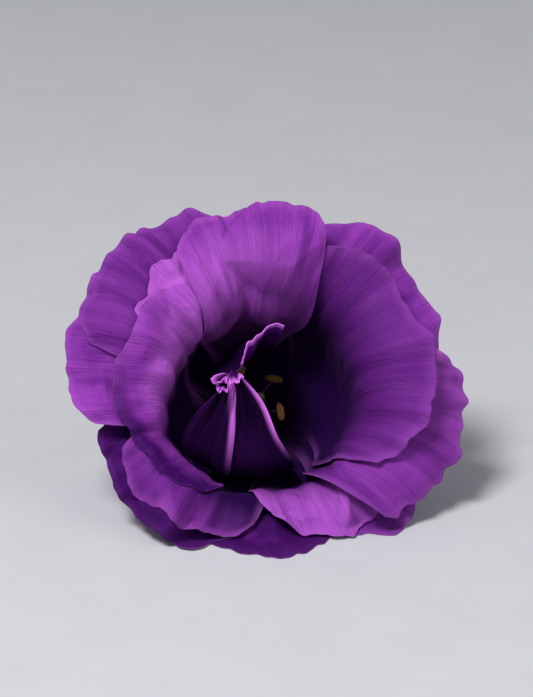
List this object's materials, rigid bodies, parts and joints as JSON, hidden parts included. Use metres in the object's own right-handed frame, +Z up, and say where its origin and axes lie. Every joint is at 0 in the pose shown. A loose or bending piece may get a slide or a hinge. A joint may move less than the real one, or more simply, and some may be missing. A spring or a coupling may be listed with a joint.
{
  "type": "lisianthus flower",
  "caption": "Double ruffled lisianthus bloom as picked, with its calyx and pedicel, lying on its lower petals and facing outwards and up.",
  "frame": {"origin": "on the surface that the flower lies on, under the middle of its box", "axes": "+Z up; +Y along the pedicel, away from the bloom, which faces -Y and upwards; +X to the right as one looks into the bloom"},
  "size_m": [0.072, 0.1104, 0.0539],
  "materials": {
    "petal": "matte",
    "young_petal": "matte",
    "anther": "matte",
    "stigma": "matte",
    "calyx": "satin"
  },
  "bodies": {
    "root": {"petal_outer_1": "petal", "petal_outer_2": "petal", "petal_outer_3": "petal", "petal_outer_4": "petal", "petal_outer_5": "petal", "petal_outer_6": "petal", "petal_inner_1": "petal", "petal_inner_2": "petal", "petal_inner_3": "petal", "petal_inner_4": "petal", "petal_inner_5": "petal", "petal_inner_6": "petal", "petal_inner_7": "petal", "petal_heart_1": "young_petal", "petal_heart_2": "young_petal", "petal_heart_3": "young_petal", "stamen_1": "anther", "stamen_2": "anther", "stamen_3": "anther", "stamen_4": "anther", "stamen_5": "anther", "pistil": "stigma", "calyx_and_pedicel": "calyx"}
  },
  "joints": []
}
